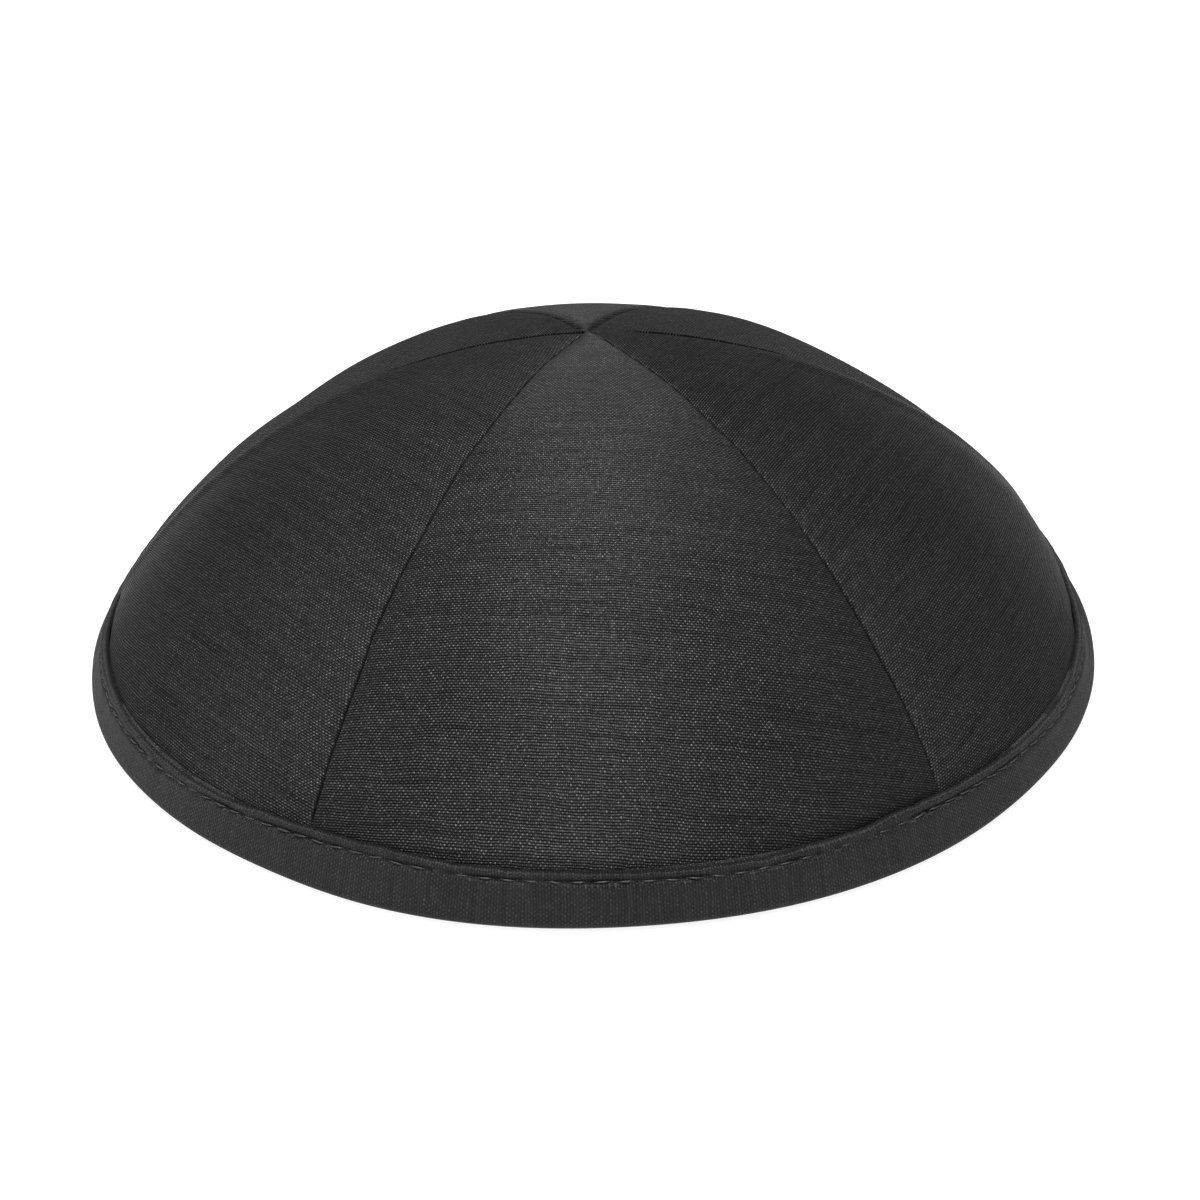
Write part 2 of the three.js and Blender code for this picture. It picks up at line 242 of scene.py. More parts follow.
def dimples(x, y, seed, size):
    """Smooth random numbers from -1 to 1 over a surface."""
    count = SURFACE_KNOTS
    knots = np.random.default_rng(seed).uniform(-1, 1, (count, count))
    px = np.asarray(x) / size + KNOTS_BEFORE["surface"]
    py = np.asarray(y) / size + KNOTS_BEFORE["surface"]
    ix, iy = np.floor(px).astype(int), np.floor(py).astype(int)
    sx, sy = smooth(px - ix, 0, 1), smooth(py - iy, 0, 1)
    near = knots[ix % count, iy % count] * (1 - sx) + knots[(ix + 1) % count, iy % count] * sx
    far = knots[ix % count, (iy + 1) % count] * (1 - sx) + knots[(ix + 1) % count, (iy + 1) % count] * sx
    return near * (1 - sy) + far * sy


def wall_point(up, depth):
    """The radius and height of points of the wall, a distance up along it and a depth into it."""
    up, depth = np.broadcast_arrays(np.asarray(up, float), np.asarray(depth, float))
    above = up - BAND_WIDTH
    slope = CROWN_SLOPE - above / SPHERE_RADIUS
    band_radius = FOOT_RADIUS - above * math.cos(BAND_SLOPE)
    band_height = FOOT_HEIGHT + above * math.sin(BAND_SLOPE)
    crown_radius = SPHERE_RADIUS * np.sin(slope)
    crown_height = SPHERE_HEIGHT + SPHERE_RADIUS * np.cos(slope)
    radius = np.where(above < 0, band_radius, crown_radius)
    height = np.where(above < 0, band_height, crown_height)
    facing = BAND_SLOPE + (slope - BAND_SLOPE) * smooth(above, -BEND, BEND)
    return radius - depth * np.sin(facing), height - depth * np.cos(facing)


def up_at_height(height, depth):
    """How far up the straight part of the wall a height is reached, at a depth into it."""
    return (height + (BAND_STEP + depth) * math.cos(BAND_SLOPE)) / math.sin(BAND_SLOPE)


def oval(angle):
    """The share of its round size that the oval cap has at an angle."""
    return 1 + OVAL * np.cos(2 * angle)


def placed(radius, height, angle):
    """Points of the section, turned round the cap. Angles run from the front to the right."""
    reach = radius * oval(angle)
    return np.stack([reach * np.sin(angle), -reach * np.cos(angle), height + 0 * reach], -1)


def spots(angle, table, key):
    """The sum of a table's soft spots round the cap."""
    total = 0 * angle
    for spot in table:
        turn = np.degrees(turn_between(angle, math.radians(spot["round"])))
        total = total + spot[key] * hump(turn, spot["half_round"])
    return total


def dent_depth(up, angle):
    """How far the soft dents push the whole wall in at a place."""
    depth = 0 * angle
    for dent in DENTS:
        turn = np.degrees(turn_between(angle, math.radians(dent["round"])))
        pushed_in = dent["depth"] * hump(turn, dent["half_round"])
        depth = depth + pushed_in * hump(up - dent["up"], dent["half_up"])
    return depth


def wall(up, depth, angle):
    """Points of the wall, with its dents and bulges. The dents end above the foot, so the rim lies flat."""
    radius, height = wall_point(up, depth + dent_depth(up, angle) * smooth(up, *DENTS_BEGIN))
    bulge = spots(angle, RIM_BULGES, "out") * (1 - np.clip(up / RIM_BULGE_FADE, 0, 1)) ** 2
    return placed(radius + bulge, height, angle)


def grid_quads(rows, columns, offset=0, flip=False, closed=False, looped=False):
    """The faces of a grid of points.

    A closed grid joins its last column to its first, and a looped one its last row to its first.
    """
    ids = np.arange(rows * columns).reshape(rows, columns) + offset
    if closed:
        ids = np.concatenate([ids, ids[:, :1]], 1)
    if looped:
        ids = np.concatenate([ids, ids[:1]], 0)
    a, b, c, d = ids[:-1, :-1], ids[:-1, 1:], ids[1:, 1:], ids[1:, :-1]
    quads = np.stack([a, b, c, d], -1).reshape(-1, 4)
    return quads[:, ::-1] if flip else quads


def sheet_faces(rows, columns):
    """The faces of a closed sheet: its outer grid, its inner grid and the four edges between them."""
    outer = np.arange(rows * columns).reshape(rows, columns)
    inner = outer + rows * columns
    faces = [grid_quads(rows, columns), grid_quads(rows, columns, rows * columns, flip=True)]
    for line, other, turned in (
        (outer[:, 0], inner[:, 0], False),
        (outer[:, -1], inner[:, -1], True),
        (outer[0], inner[0], True),
        (outer[-1], inner[-1], False),
    ):
        strip = np.stack([line[:-1], line[1:], other[1:], other[:-1]], -1)
        faces.append(strip[:, ::-1] if turned else strip)
    return np.concatenate(faces)


def unwrapped(uv, faces, wrap):
    """The cloth places of the faces' corners, where the cloth runs on past its own start after a length."""
    corners = np.asarray(uv, float).reshape(-1, 2)[faces]
    behind = corners.max(axis=1, keepdims=True) - corners > np.array(wrap) / 2
    return corners + behind * np.array(wrap)


# Edges that turn by more than this are shaded as sharp
SHARP_EDGE = math.radians(50)


def mesh_of(name, points, faces):
    """A smooth mesh in metres from points in millimetres."""
    mesh = bpy.data.meshes.new(name)
    corners = faces.shape[1]
    mesh.vertices.add(len(points))
    mesh.vertices.foreach_set("co", (points * MM).astype(np.float32).ravel())
    mesh.loops.add(faces.size)
    mesh.loops.foreach_set("vertex_index", faces.astype(np.int32).ravel())
    mesh.polygons.add(len(faces))
    mesh.polygons.foreach_set("loop_start", np.arange(0, faces.size, corners, dtype=np.int32))
    mesh.update(calc_edges=True)
    mesh.polygons.foreach_set("use_smooth", np.ones(len(faces), bool))
    return mesh


def lay_cloth(mesh, faces, uv, wrap):
    """Gives a mesh its places on the cloth, in millimetres."""
    layer = mesh.uv_layers.new(name=CLOTH_MAP)
    if wrap is None:
        corners = np.asarray(uv, float).reshape(-1, 2)[faces]
    else:
        corners = unwrapped(uv, faces, wrap)
    layer.uv.foreach_set("vector", corners.astype(np.float32).ravel())


def piece(name, points, faces, material, node=None, uv=None, wrap=None):
    """An object of the cap, riding on the body. It stands for a node of the frame where one is named."""
    faces = np.asarray(faces)
    mesh = mesh_of(name, np.asarray(points, float).reshape(-1, 3), faces)
    if uv is not None:
        lay_cloth(mesh, faces, uv, wrap)
    mesh.set_sharp_from_angle(angle=SHARP_EDGE)
    mesh.validate()
    mesh.materials.append(material)
    made = bpy.data.objects.new(name, mesh)
    bpy.context.scene.collection.objects.link(made)
    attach(made, "root")
    if node:
        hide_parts(node)
    return made


# Materials
class Shader:
    """A node material in the making."""

    def __init__(self, name):
        self.material = bpy.data.materials.new(name)
        self.material.use_nodes = True
        self.tree = self.material.node_tree
        self.tree.nodes.clear()

    def node(self, kind, values, settings=None, output=0):
        """Adds a node and gives one of its outputs.

        values are its inputs, each a constant or another node's output.
        """
        made = self.tree.nodes.new("ShaderNode" + kind)
        for key, value in (settings or {}).items():
            setattr(made, key, value)
        for key, value in values.items():
            if isinstance(value, bpy.types.NodeSocket):
                self.tree.links.new(value, made.inputs[key])
            else:
                made.inputs[key].default_value = value
        return made.outputs[output]

    def maths(self, operation, *values):
        return self.node("Math", dict(enumerate(values)), {"operation": operation})

    def times(self, first, second):
        return self.maths("MULTIPLY", first, second)

    def line(self, value, slope, start):
        """A straight line: slope times a value, and start."""
        return self.maths("MULTIPLY_ADD", value, slope, start)

    def noise(self, place, scale, detail=2.0):
        return self.node("TexNoise", {"Vector": place, "Scale": scale, "Detail": detail})

    def step(self, value, low, high):
        """0 below low, 1 above high, and an S between."""
        values = {"Value": value, "From Min": low, "From Max": high}
        return self.node("MapRange", values, {"interpolation_type": "SMOOTHSTEP"})

    def vary(self, tone, chance, amount):
        """A tone made lighter and darker by numbers that lie round a half."""
        return self.times(tone, self.line(chance, amount, 1 - amount / 2))

    def surface(self, **values):
        """Ends the material with one surface. An underscore stands for a space in the inputs' names."""
        named = {key.replace("_", " "): value for key, value in values.items()}
        self.node_output(self.node("BsdfPrincipled", named))
        return self.material

    def node_output(self, surface):
        made = self.tree.nodes.new("ShaderNodeOutputMaterial")
        self.tree.links.new(surface, made.inputs["Surface"])


# The black cloth's yarns in millimetres, how high its warp lies under the weft's height of 1, and how sharp
# its ribs are
WEFT_PITCH = 0.367
WARP_PITCH = 0.273
WARP_LEVEL = 0.5
RIB_SHARPNESS = 1.3

# How its yarns leave their straight lines, over long and short stretches: the noise's scale, and how far
YARN_DRIFT = {"scale": 0.12, "by": 0.8}
YARN_WAVER = {"scale": 0.9, "by": 0.22}

# The scales of the noise that places slubs and streaks, and between which of its values a slub begins
SLUB = {"across": 0.045, "yarns": 61.0, "between": (0.63, 0.72)}
STREAK = {"across": 0.09, "along": 1.6}

# How much the tone varies from yarn to yarn, in streaks, in clouds and from knuckle to knuckle
UNEVEN = {"yarns": 0.22, "streaks": 0.36, "clouds": 0.3, "knuckles": 0.45}

# How high the bumps of the weave, the satin and the steel are, in millimetres
WEAVE_BUMP = 0.09
SATIN_BUMP = 0.03
STEEL_BUMP = 0.02


def cloth_axes(s):
    """The place on the cloth, and how far it is along the weft and along the warp, in millimetres."""
    place = s.node("UVMap", {}, {"uv_map": CLOTH_MAP})
    across = s.node("SeparateXYZ", {"Vector": place}, output="X")
    along = s.node("SeparateXYZ", {"Vector": place}, output="Y")
    return place, across, along


def weave(s, place, across, along):
    """The weave's height, where its weft lies on top, and random numbers for its yarns and its knuckles."""
    drift = s.noise(place, YARN_DRIFT["scale"])
    waver = s.noise(place, YARN_WAVER["scale"])
    row = s.line(drift, YARN_DRIFT["by"], s.line(waver, YARN_WAVER["by"], along))
    row = s.times(row, 1 / WEFT_PITCH)
    column = s.times(s.line(drift, YARN_DRIFT["by"], across), 1 / WARP_PITCH)
    row_wave = s.maths("SINE", s.times(row, math.pi))
    column_wave = s.maths("SINE", s.times(column, math.pi))
    # Where the weft lies on top its knuckles stand high, and where the warp does the row is lower
    on_top = s.step(s.times(row_wave, column_wave), -0.25, 0.35)
    knuckle = s.line(s.maths("ABSOLUTE", column_wave), 0.45, 0.55 - WARP_LEVEL)
    rib = s.maths("POWER", s.maths("ABSOLUTE", row_wave), RIB_SHARPNESS)
    height = s.times(rib, s.line(knuckle, on_top, WARP_LEVEL))
    row_number = s.maths("FLOOR", row)
    yarn = s.node("TexWhiteNoise", {"W": row_number}, {"noise_dimensions": "1D"})
    cell = s.node("CombineXYZ", {"X": s.maths("FLOOR", column), "Y": row_number})
    chance = s.node("TexWhiteNoise", {"Vector": cell}, {"noise_dimensions": "2D"})
    return height, on_top, yarn, chance


def slubs_at(s, across, yarn):
    """1 on the thick places that some yarns have, and 0 elsewhere."""
    x, y = s.times(across, SLUB["across"]), s.times(yarn, SLUB["yarns"])
    return s.step(s.noise(s.node("CombineXYZ", {"X": x, "Y": y}), 1.0, 1.0), *SLUB["between"])


def streaks_at(s, across, along):
    """Random numbers that run in long streaks along the weft."""
    x, y = s.times(across, STREAK["across"]), s.times(along, STREAK["along"])
    return s.noise(s.node("CombineXYZ", {"X": x, "Y": y}), 1.0, 3.0)


def woven_silk(name, shade, relief, slubs, painted_glint_strength, gloss):
    """Plain-woven raw silk: shiny weft knuckles in brick order over finer warp, with slubs, and with
    painted
    light in its colour: painted highlights on the knuckles, painted shade in the gaps between the yarns and
    painted glints on single knuckles.

    relief says how strongly the weave shows, through its painted highlights and shade, slubs how dark the
    slubs are, painted_glint_strength how much single knuckles are painted lighter as painted glints, and
    gloss how much the cloth mirrors.
    """
    s = Shader(name)
    place, across, along = cloth_axes(s)
    height, on_top, yarn, chance = weave(s, place, across, along)
    slub = slubs_at(s, across, yarn)
    # Painted highlight and painted shade: the weave's high knuckles are painted lighter and the low gaps
    # between its yarns darker.
    tone = s.line(s.maths("POWER", height, 1.7), 3.1 * relief, 1.0 - 0.83 * relief)
    tone = s.vary(tone, yarn, UNEVEN["yarns"])
    tone = s.vary(tone, streaks_at(s, across, along), UNEVEN["streaks"])
    tone = s.vary(tone, s.noise(place, 0.06), UNEVEN["clouds"])
    tone = s.vary(tone, chance, UNEVEN["knuckles"] * relief)
    tone = s.times(tone, s.line(slub, -0.26 * slubs, 1.0))
    # Painted glints: single knuckles where the weft lies on top are painted lighter still.
    painted_glint = s.times(s.times(s.maths("POWER", chance, 8.0), height), on_top)
    tone = s.line(painted_glint, 1.5 * painted_glint_strength, tone)
    bump = s.node("Bump", {"Distance": WEAVE_BUMP * MM, "Height": s.line(slub, 0.5, height)})
    return s.surface(
        Base_Color=s.times(tone, shade),
        Roughness=s.line(chance, -0.12, 0.56),
        Normal=bump,
        Tangent=s.node("Tangent", {}, {"direction_type": "UV_MAP", "uv_map": CLOTH_MAP}),
        Metallic=s.line(height, 0.95 * relief, 0.6 - 0.5 * relief),
        Specular_Tint=(0.4, 0.4, 0.4, 1.0),
        Anisotropic=0.9,
        Anisotropic_Rotation=0.25,
        Specular_IOR_Level=gloss,
        Sheen_Weight=0.027,
        Sheen_Roughness=0.4,
    )


def satin(name, shade):
    """Smooth white satin with a faint fine grain and a soft sheen."""
    s = Shader(name)
    place, across, along = cloth_axes(s)
    threads = s.node("CombineXYZ", {"X": s.times(across, 0.5), "Y": s.times(along, 8.0)})
    grain = s.noise(threads, 1.0, 3.0)
    tone = s.vary(s.vary(shade, grain, 0.06), s.noise(place, 0.05), 0.08)
    bump = s.node("Bump", {"Strength": 0.5, "Distance": SATIN_BUMP * MM, "Height": grain})
    return s.surface(
        Base_Color=tone,
        Roughness=s.line(grain, 0.1, 0.34),
        Normal=bump,
        Sheen_Weight=0.3,
        Sheen_Roughness=0.4,
    )


def thread_fibre(name, shade):
    """Twisted sewing thread, with fine plies along it."""
    s = Shader(name)
    place = s.node("TexCoord", {}, output="Object")
    plies = s.noise(place, 9000.0, 1.0)
    return s.surface(Base_Color=s.vary(shade, plies, 0.8), Roughness=s.line(plies, 0.2, 0.35))


def plated_steel(name):
    """Nickel-plated spring steel, with faint rolling marks and a little tarnish."""
    s = Shader(name)
    place = s.node("TexCoord", {}, output="Object")
    stretched = s.node("Mapping", {"Vector": place, "Scale": (9000.0, 900.0, 900.0)})
    marks = s.noise(stretched, 1.0)
    cloud = s.noise(place, 260.0, 3.0)
    return s.surface(
        Base_Color=s.line(cloud, 0.12, 0.15),
        Metallic=1.0,
        Roughness=s.line(cloud, 0.2, 0.18),
        Normal=s.node("Bump", {"Strength": 0.4, "Distance": STEEL_BUMP * MM, "Height": marks}),
    )


def pale_floor(name):
    """A white table top that glows a little, as one lit from below does."""
    s = Shader(name)
    cloud = s.noise(s.node("TexCoord", {}, output="Object"), 4.0)
    return s.surface(
        Base_Color=s.line(cloud, 0.01, 0.3),
        Roughness=0.8,
        Specular_IOR_Level=0.2,
        Emission_Color=(1.0, 1.0, 1.0, 1.0),
        Emission_Strength=0.85,
    )


# Gores: how far off the grain each was cut, its weft and its warp, in degrees
OFF_GRAIN = {
    "front": (6.7, 4.0),
    "front_right": (1.0, 0.0),
    "back_right": (-3.0, 1.0),
    "back": (2.0, 3.0),
    "back_left": (4.0, -1.0),
    "front_left": (-6.5, -0.8),
}

# How far below the top point the panels of cloth end, and how many points they have
OPEN_TOP = {"gore": 0.04, "lining": 0.05}
GORE_GRID = {"hidden_rows": 4, "rows": 165, "columns": 105}
LINING_GRID = {"hidden_rows": 4, "rows": 105, "columns": 105}

# A gore's soft dimples, and its gathers at the binding
DIMPLES = {"height": 0.12, "size": 26.0}
GATHERS = {"height": 0.08, "length": 3.1, "reach": 2.2}


def seam_angle(seam, up):
    """Where a seam runs: evenly round the cap, with a small wander, a lean near the top and a sweep."""
    radius, _ = wall_point(up, 0.0)
    even = (2 * seam + 1) * math.pi / len(GORES)
    wandering = SEAM_WANDER["by"] * wander(up, SEEDS["seam_wander"] + seam, SEAM_WANDER["length"])
    wandering = wandering * smooth(radius, 1.0, 12.0) / radius
    lean = math.radians(SEAMS[seam]["lean"]) * hump(radius, LEAN_REACH)
    sweep = math.radians(SEAMS[seam]["sweep"]) * smooth(radius, *SWEEP_GROWS)
    return even + wandering + lean + sweep


def seam_groove(facts, distance, radius):
    """The height of the cloth in a seam's groove, which is below zero."""
    started = smooth(radius, facts["start"] - 2.0, facts["start"] + 2.0)
    groove = -facts["groove"] * started * np.exp(-((distance / facts["half_width"]) ** 1.3))
    return groove * (1 - facts["fade"] * smooth(radius, *GROOVE_FADES))


def seam_valley(facts, distance, radius):
    """The height of the cloth in the soft valley round a seam near the top point, which is below zero."""
    valley = -facts["valley"] * hump(radius, VALLEY["reach"]) * hump(distance, VALLEY["half_width"])
    return valley * smooth(radius, 0.0, VALLEY["start"])


def allowance_ridge(facts, distance, radius):
    """How high the cloth stands over the seam allowance that lies behind it."""
    rise = smooth(distance, *ALLOWANCE["rise"])
    fall = smooth(ALLOWANCE["width"] - distance, 0.0, ALLOWANCE["fall"])
    return facts["ridge"] * rise * fall * smooth(radius, *ALLOWANCE["grows"])


def seam_puckers(facts, row, up, distance):
    """Short puckers at a seam and longer ones that slant away from it."""
    short = facts["pucker"] * wander(up, SEEDS["seam_puckers"] + row, PUCKERS["length"])
    slanted = up + LONG_PUCKERS["slant"] * distance
    long = wander(slanted, SEEDS["long_puckers"] + row, LONG_PUCKERS["length"])
    long = LONG_PUCKERS["share"] * facts["pucker"] * long
    return short * np.exp(-distance / PUCKERS["reach"]) + long * np.exp(-distance / LONG_PUCKERS["reach"])


def seam_relief(seam, side, up, distance, radius):
    """How far the cloth stands out beside a seam, on its right, side 1, or its left, side -1."""
    facts = SEAMS[seam]
    folds = 0.0
    if FLAT_SIDE.get(seam) != side:
        folds = seam_groove(facts, distance, radius) + allowance_ridge(facts, distance, radius)
    puckers = seam_puckers(facts, 2 * seam + (side > 0), up, distance)
    clear_of_band = smooth(up, BAND_WIDTH + 0.3, BAND_WIDTH + 1.5)
    return (folds + puckers) * clear_of_band + seam_valley(facts, distance, radius)


def cloth_place(points, middle, off_grain=(0.0, 0.0)):
    """Where points of a panel lie on its cloth, in millimetres: along the weft and along the warp.

    off_grain says how far the weft leans from lying square to the panel's middle line, and the warp from
    running along it, in degrees.
    """
    from_centre = points - np.array([0, 0, SPHERE_HEIGHT])
    outward = np.array([math.sin(middle), -math.cos(middle), 0.0])
    sideways = np.array([math.cos(middle), math.sin(middle), 0.0])
    forward = from_centre @ outward
    lateral = from_centre @ sideways
    distance = np.linalg.norm(from_centre, axis=-1)
    along = SPHERE_RADIUS * np.arctan2(from_centre[..., 2], forward)
    across = SPHERE_RADIUS * np.arcsin(np.clip(lateral / distance, -1, 1))
    weft_lean, warp_lean = np.tan(np.radians(off_grain))
    return np.stack([across - along * warp_lean, along + across * weft_lean], -1)


def pillow(up, distance):
    """How far a gore swells between its seams and the band."""
    from_band = np.maximum(0, up - BAND_WIDTH)
    return PILLOW * (1 - np.exp(-distance / SEAM_VALLEY)) * (1 - np.exp(-from_band / BAND_VALLEY))


def crowded(count):
    """Places from -1 to 1 that lie close together near both ends."""
    place = np.linspace(-1, 1, count)
    from_end = 1 - np.abs(place)
    return np.sign(place) * (1 - 0.12 * from_end - 0.88 * from_end**2.2)


def gore_places(number):
    """Where a gore's points lie: how far up the wall, between which seams, and at which angles."""
    low = up_at_height(CAVITY_FLOOR + GAP, CLOTH)
    hidden = np.linspace(low, BAND_WIDTH - 0.8, GORE_GRID["hidden_rows"])
    shown = np.linspace(BAND_WIDTH - 0.3, WALL_LENGTH - OPEN_TOP["gore"], GORE_GRID["rows"])
    up = np.concatenate([hidden, shown])[:, None]
    left = seam_angle((number - 1) % len(GORES), up) - (2 * math.pi if number == 0 else 0)
    right = seam_angle(number, up)
    share = (crowded(GORE_GRID["columns"])[None, :] + 1) / 2
    return up, left, right, left * (1 - share) + right * share


def gore_dimples(number, up, arc, radius):
    """A gore's soft dimples, which fade out at the top point."""
    uneven = dimples(arc, up, SEEDS["gore_dimples"] + number, DIMPLES["size"])
    return DIMPLES["height"] * uneven * smooth(radius, 2.0, 16.0)


def gore_gathers(number, up, arc):
    """The small gathers where the binding holds a gore."""
    pull = wander(arc, SEEDS["gore_gathers"] + number, GATHERS["length"])
    pull = pull * np.exp(-np.maximum(0, up - BAND_WIDTH) / GATHERS["reach"])
    return GATHERS["height"] * pull * (up > BAND_WIDTH - 1)


def gore(number, material):
    """One gore: a wall of cloth from inside the binding to the top point, between two seams."""
    middle = 2 * math.pi / len(GORES) * number
    up, left, right, angle = gore_places(number)
    radius, _ = wall_point(up, 0.0)
    from_left, from_right = (angle - left) * radius, (right - angle) * radius
    relief = pillow(up, np.minimum(from_left, from_right))
    relief = relief + seam_relief((number - 1) % len(GORES), 1, up, from_left, radius)
    relief = relief + seam_relief(number, -1, up, from_right, radius)
    arc = (angle - middle) * radius
    relief = relief + gore_dimples(number, up, arc, radius)
    relief = relief + gore_gathers(number, up, arc)
    outer = wall(up, -relief, angle)
    inner = wall(up, CLOTH + 0 * angle, angle)
    points = np.stack([outer, inner])
    name = GORES[number]
    uv = np.stack([cloth_place(outer, middle, OFF_GRAIN[name])] * 2)
    faces = sheet_faces(*angle.shape)
    made = piece(f"cloth_gore_{name}", points, faces, material, f"gore_{name}", uv)


# Binding
def inner_band_top(angle):
    """How far up the wall the inner band's free edge is."""
    start = up_at_height(0, INNER_BAND_DEPTH + CLOTH)
    wave = EDGE_WAVE["height"] * np.sin(EDGE_WAVE["waves"] * angle)
    return start + INNER_BAND_WIDTH + wave + 0.45 * wander_round(angle, SEEDS["inner_edge"], 17)


def rounded_corner(foot, slope, side, count):
    """The rounded corner between the table and a face that leans at a slope."""
    back = RIM_ROUNDING / math.tan(slope / 2)
    turn = (math.pi - slope) * np.linspace(0, 1, count)
    return foot - side * (back - RIM_ROUNDING * np.sin(turn)), RIM_ROUNDING * (1 - np.cos(turn))


def edge_rise(angle):
    """How much higher than usual the binding's outer edge runs."""
    return spots(angle, EDGE_RISES, "rise")


def line_rise(angle):
    """How much higher than usual the row of stitches runs: it follows the edge, not quite evenly."""
    return 0.8 * edge_rise(angle) + 0.16 * wander_round(angle, SEEDS["stitch_line"], 34)


def pinch(angle):
    """1 at the holes of the stitches, and less under the thread."""
    phase = (angle / (2 * math.pi) * STITCH_COUNT) % 1.0
    return 0.62 + 0.38 * np.cos(2 * math.pi * phase)


def edge_lift(angle):
    """How much higher than usual the folded edge is, with the waves that the stitches pull into it."""
    long = 0.10 * wander_round(angle, SEEDS["edge_waves"], 120)
    return edge_rise(angle) + long + 0.08 * wander_round(angle, SEEDS["edge_ripples"], 330)


def join_dip(angle):
    """The shallow groove at the back where the binding's two ends meet."""
    return 0.3 * hump(turn_between(angle, math.pi) * RIM_RADIUS, 0.3)


def rounded_foot(foot, slope, side, count, angle):
    """Points of a rounded corner, carried round the rim."""
    radius, height = rounded_corner(foot, slope, side, count)
    return placed(radius[None, :] + spots(angle, RIM_BULGES, "out"), height[None, :], angle)


def stitched_relief(angle, from_line):
    """How far the binding's outer face stands out near its row of stitches."""
    pull = 1 + 0.5 * wander_round(angle, SEEDS["stitch_pull"], STITCH_COUNT // 2)
    groove = -STITCH_GROOVE["depth"] * pull * (0.4 + 0.6 * pinch(angle))
    groove = groove * hump(from_line, STITCH_GROOVE["half_width"])
    roll = 0.05 * pull * hump(from_line - 0.8, 0.5) + 0.08 * hump(from_line + 0.9, 0.8)
    slant = angle + 0.012 * from_line
    puckers = 0.13 * wander_round(slant, SEEDS["band_puckers"], 260) * np.exp(-np.abs(from_line) / 1.3)
    puckers = puckers + 0.10 * wander_round(slant, SEEDS["band_waves"], 110) * hump(from_line, 2.2)
    return groove + roll + puckers


def band_outside(angle):
    """The binding's outer face, from above its rounded foot to below its folded edge."""
    low, near_line = np.linspace(3.4, 5.8, 6), np.linspace(6.1, 7.4, 10)
    up = np.concatenate([low, near_line, [7.5, 7.65]])[None, :]
    line = BAND_WIDTH - STITCH["below_edge"]
    relief = stitched_relief(angle, up - line)
    above_line = smooth(up, line, BAND_WIDTH)
    with_line = line_rise(angle) * smooth(up, 4.5, line) * (1 - above_line)
    shifted = up + with_line + edge_lift(angle) * above_line
    return wall(shifted, join_dip(angle) - BAND_STEP - relief, angle)


def band_edge(angle):
    """The binding's folded edge, turned over against the gores, and the leg behind it."""
    turn = np.linspace(0.15, 0.95, 6)[None, :] * math.pi / 2
    edge_up = BAND_WIDTH - 0.5 + 0.42 * np.sin(turn) + edge_lift(angle)
    edge_depth = join_dip(angle) - BAND_STEP - 0.05 + EDGE_THICKNESS * (1 - np.cos(turn))
    behind = np.array([[BAND_WIDTH - 0.2, BAND_WIDTH - 1.5, up_at_height(CAVITY_FLOOR, LEG_DEPTH)]])
    return [wall(edge_up, edge_depth, angle), wall(behind + 0 * angle, LEG_DEPTH + 0 * angle, angle)]


def band_inside(angle):
    """The binding's inner leg, up its hidden side, over its free edge and down its shown side."""
    inner_leg = INNER_BAND_DEPTH + CLOTH
    top = inner_band_top(angle)
    start = up_at_height(CAVITY_FLOOR, INNER_BAND_DEPTH)
    share = np.linspace(0, 1, 5)[None, :]
    under = wall(start + (top - 0.5 - start) * share, INNER_BAND_DEPTH + 0 * share * angle, angle)
    lift = 0.25 * (0.5 + 0.5 * wander_round(angle, SEEDS["inner_lift"], 60))
    turn = np.linspace(0.1, 0.9, 5)[None, :] * math.pi
    rim_depth = INNER_BAND_DEPTH + CLOTH / 2 - CLOTH / 2 * np.cos(turn) + lift
    free_edge = wall(top - 0.5 + 0.5 * np.sin(turn), rim_depth, angle)
    share = np.linspace(0, 1, 22)[None, :]
    up = (top - 0.6) * (1 - share) + up_at_height(1.6, inner_leg) * share
    line = inner_line()
    ripple = 0.16 * wander_round(angle, SEEDS["inner_ripples"], 75) * smooth(up, line, top)
    groove = 0.30 * pinch(angle) * hump(up - line, 0.4)
    shown = wall(up, inner_leg + lift * smooth(up, top - 6, top) + ripple - groove, angle)
    return [under, free_edge, shown]


def inner_line():
    """How far up the wall the inner row of stitches is, at the height of the outer one."""
    return up_at_height(0, INNER_BAND_DEPTH + CLOTH) + BAND_WIDTH - STITCH["below_edge"]


def binding(material):
    """The folded band: a short, topstitched leg outside, and a long leg inside with a free edge."""
    steps = STITCH_COUNT * STEPS_PER_STITCH
    angle = math.pi + (np.arange(steps) * 2 * math.pi / steps)[:, None]
    foot = rounded_foot(RIM_RADIUS, BAND_SLOPE, 1, 6, angle)
    inner_foot = RIM_RADIUS - (BAND_STEP + INNER_BAND_DEPTH + CLOTH) / math.sin(BAND_SLOPE)
    heel = rounded_foot(inner_foot, math.pi - BAND_SLOPE, -1, 5, angle)[:, ::-1]
    points = np.concatenate([foot, band_outside(angle), *band_edge(angle), *band_inside(angle), heel], 1)
    lengths = np.linalg.norm(np.diff(points, axis=1), axis=-1)
    along = np.concatenate([np.zeros((steps, 1)), np.cumsum(lengths, 1)], 1)
    uv = np.stack([along, np.broadcast_to(angle * RIM_RADIUS, along.shape)], -1)
    faces = grid_quads(steps, points.shape[1], flip=True, closed=True, looped=True)
    length = 2 * math.pi * RIM_RADIUS
    wrap = (float(along.max()), length)
    made = piece("cloth_binding", points, faces, material, "rim_binding", uv, wrap)


